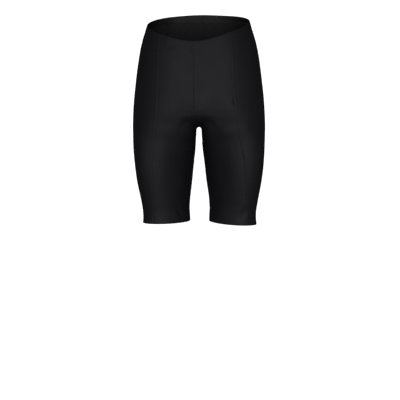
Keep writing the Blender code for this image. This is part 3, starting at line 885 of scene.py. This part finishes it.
def cloth_material(name, colour, roughness, bump):
    """Black nylon and elastane knit: fine wales, a faint unevenness of tone and a satin sheen."""
    material = bpy.data.materials.new(name)
    material.use_nodes = True
    add = node_maker(material)
    shader = material.node_tree.nodes["Principled BSDF"]
    place = add("ShaderNodeTexCoord").outputs["Object"]
    patches = add("ShaderNodeTexNoise", {"Vector": place, "Scale": 26.0, "Detail": 2.0, "Roughness": 0.5})
    grain = add("ShaderNodeTexNoise", {"Vector": place, "Scale": 1400.0, "Detail": 1.0})
    both = {0: grain.outputs["Fac"], 1: GRAIN_SHARE, 2: patches.outputs["Fac"]}
    tone = add("ShaderNodeMath", both, operation="MULTIPLY_ADD")
    shade = add("ShaderNodeMapRange", {"Value": tone.outputs[0], "From Min": 0.45, "From Max": 1.05})
    mix = add("ShaderNodeMix", {"Factor": shade.outputs[0]}, data_type="RGBA")
    set_tones(mix, colour, 1 - TONE_SPREAD, 1 + TONE_SPREAD)
    height = knit_height(add, WALE, COURSE, LOOP_SLANT)
    relief = add("ShaderNodeBump", {"Height": height, "Strength": bump, "Distance": KNIT_RELIEF})
    gloss = add("ShaderNodeMapRange", {"Value": patches.outputs["Fac"], "From Min": 0.3, "From Max": 0.7})
    gloss.inputs["To Min"].default_value = roughness - GLOSS_SPREAD
    gloss.inputs["To Max"].default_value = roughness + GLOSS_SPREAD
    link = material.node_tree.links.new
    link(mix.outputs["Result"], shader.inputs["Base Color"])
    link(relief.outputs["Normal"], shader.inputs["Normal"])
    link(gloss.outputs["Result"], shader.inputs["Roughness"])
    shader.inputs["Specular IOR Level"].default_value = CLOTH_SPECULAR
    return material


def thread_material(name, colour):
    """Twisted black sewing thread."""
    material = bpy.data.materials.new(name)
    material.use_nodes = True
    add = node_maker(material)
    shader = material.node_tree.nodes["Principled BSDF"]
    place = add("ShaderNodeTexCoord").outputs["Object"]
    strands = add("ShaderNodeTexNoise", {"Vector": place, "Scale": 3000.0, "Detail": 1.0})
    mix = add("ShaderNodeMix", {"Factor": strands.outputs["Fac"]}, data_type="RGBA")
    set_tones(mix, colour, 1 / (1 + THREAD_SPREAD), 1 + THREAD_SPREAD)
    material.node_tree.links.new(mix.outputs["Result"], shader.inputs["Base Color"])
    shader.inputs["Roughness"].default_value = 0.5
    return material


def studio_material(name, colour, glow):
    """A plain pale surface that is evenly lit."""
    material = bpy.data.materials.new(name)
    material.use_nodes = True
    shader = material.node_tree.nodes["Principled BSDF"]
    shader.inputs["Base Color"].default_value = (*colour, 1)
    shader.inputs["Roughness"].default_value = 0.9
    shader.inputs["Emission Color"].default_value = (1, 1, 1, 1)
    shader.inputs["Emission Strength"].default_value = glow
    return material


# The floor and backdrop, in metres
FLOOR_HEIGHT = -0.95
BACKDROP_BEHIND = 1.6
BACKDROP_BEND = 1.0
BACKDROP_TOP = 3.4
FLOOR_FRONT = -4.2
FLOOR_HALF_WIDTH = 3.6
BEND_STEP = 6
FLOOR_COLOUR = (0.86, 0.86, 0.86)
FLOOR_GLOW = 1.1


def make_backdrop():
    """A pale floor that bends up into a backdrop. It doesn't light the black cloth."""
    profile = [(FLOOR_FRONT, FLOOR_HEIGHT), (BACKDROP_BEHIND, FLOOR_HEIGHT)]
    for degrees in range(BEND_STEP, 91, BEND_STEP):
        turn = math.radians(degrees)
        y = BACKDROP_BEHIND + BACKDROP_BEND * math.sin(turn)
        profile.append((y, FLOOR_HEIGHT + BACKDROP_BEND * (1 - math.cos(turn))))
    profile.append((BACKDROP_BEHIND + BACKDROP_BEND, BACKDROP_TOP))
    points = [(x, y, z) for x in (-FLOOR_HALF_WIDTH, FLOOR_HALF_WIDTH) for y, z in profile]
    count = len(profile)
    faces = [(i, i + count, i + count + 1, i + 1) for i in range(count - 1)]
    mesh = bpy.data.meshes.new("floor_and_backdrop")
    mesh.from_pydata(points, [], faces)
    mesh.shade_smooth()
    mesh.materials.append(studio_material("pale_floor", FLOOR_COLOUR, FLOOR_GLOW))
    floor = bpy.data.objects.new("floor_and_backdrop", mesh)
    floor.visible_diffuse = False
    floor.visible_glossy = False
    bpy.context.scene.collection.objects.link(floor)


def aim(thing, target):
    """Turn a light or the camera to face a point."""
    direction = Vector(target) - thing.location
    thing.rotation_euler = direction.to_track_quat("-Z", "Y").to_euler()


def make_light(name, place, target, size, power):
    """A broad soft light aimed at a point."""
    data = bpy.data.lights.new(name, "AREA")
    data.shape = "RECTANGLE"
    data.size, data.size_y = size
    data.energy = power
    light = bpy.data.objects.new(name, data)
    light.location = place
    aim(light, target)
    bpy.context.scene.collection.objects.link(light)


# The camera, in metres and millimetres of lens
CAMERA_TARGET = (0.00265, 0.0, -0.443)
CAMERA_DISTANCE = 3.0
CAMERA_PITCH = math.radians(5.3)
CAMERA_LENS, CAMERA_SENSOR = 101.25, 36.0

# Soft lights, each as its name, place, size and power: a broad one in front and a weak one on each
# side, aimed at the part's middle
WORLD_LIGHT = 0.05
PART_MIDDLE = (0.0, 0.0, -0.25)
LIGHTS = (
    ("key_light", (0.3, -3.0, -0.2), (3.0, 2.6), 52.0),
    ("left_side_light", (-2.0, -1.9, -0.2), (1.6, 2.0), 8.0),
    ("right_side_light", (2.3, -0.9, -0.25), (1.6, 2.0), 3.0),
)


def make_camera():
    """The photograph's view: level from side to side and tipped down a little."""
    data = bpy.data.cameras.new("camera")
    data.lens = CAMERA_LENS
    data.sensor_width = CAMERA_SENSOR
    data.sensor_fit = "HORIZONTAL"
    camera = bpy.data.objects.new("camera", data)
    back = Vector((0, -math.cos(CAMERA_PITCH), math.sin(CAMERA_PITCH))) * CAMERA_DISTANCE
    camera.location = Vector(CAMERA_TARGET) + back
    aim(camera, CAMERA_TARGET)
    bpy.context.scene.collection.objects.link(camera)
    bpy.context.scene.camera = camera


def make_studio():
    """Soft frontal light, and an even pale surrounding."""
    world = bpy.data.worlds.new("world")
    world.use_nodes = True
    world.node_tree.nodes["Background"].inputs["Color"].default_value = (1, 1, 1, 1)
    world.node_tree.nodes["Background"].inputs["Strength"].default_value = WORLD_LIGHT
    bpy.context.scene.world = world
    make_backdrop()
    for name, place, size, power in LIGHTS:
        make_light(name, place, PART_MIDDLE, size, power)
    bpy.context.scene.view_settings.view_transform = "Standard"


# How deep the looper threads lie inside the turned edges, in millimetres, and how far the waist's
# reaches past its lower stitches, as a share of the way down
HEM_LOOPER_DEPTH, WAIST_LOOPER_DEPTH = 2.85, 2.55
WAIST_LOOPER_PAST = 0.004


def main():
    """Make the cloth, the elastics, the sewing and the allowances, then the studio and the camera."""
    face = cloth_material("stretch_cloth_face", (0.0125, 0.0115, 0.0140), 0.57, 0.25)
    reverse = cloth_material("stretch_cloth_reverse", (0.016, 0.0155, 0.017), 0.7, 0.35)
    elastic = cloth_material("knitted_elastic", (0.024, 0.024, 0.025), 0.75, 0.5)
    thread = thread_material("sewing_thread", (0.014, 0.014, 0.015))
    for side, side_name in ((LEFT, "left"), (RIGHT, "right")):
        for panel, start, end, columns in PANELS:
            piece = make_panel(f"cloth_{panel}_{side_name}", side, start, end, columns, [face, reverse])
            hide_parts(f"{panel}_{side_name}")
        band = make_hem_elastic(f"gripper_elastic_{side_name}", side, elastic)
        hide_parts(f"hem_elastic_{side_name}")
        rows = [2 - row / LEG_LENGTH for row in HEM_STITCH_ROWS]
        make_stitches(f"hem_stitches_{side_name}", rows, (side,), thread)
        loops = make_loops(
            f"hem_looper_thread_{side_name}", rows[0], rows[1], (side,), HEM_LOOPER_DEPTH, thread)
    band = make_waist_elastic("inner_waist_elastic", elastic)
    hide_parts("waist_elastic")
    rows = [row / TORSO_LENGTH for row in WAIST_STITCH_ROWS]
    make_stitches("waist_stitches", rows, (LEFT, RIGHT), thread)
    far = rows[1] + WAIST_LOOPER_PAST
    loops = make_loops("waist_looper_thread", rows[0], far, (LEFT, RIGHT), WAIST_LOOPER_DEPTH, thread)
    for name, side, place, start, end in SEAM_RUNS:
        for piece in make_allowance(f"allowance_{name}", side, place, start, end, reverse, thread):
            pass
    make_studio()
    make_camera()


main()
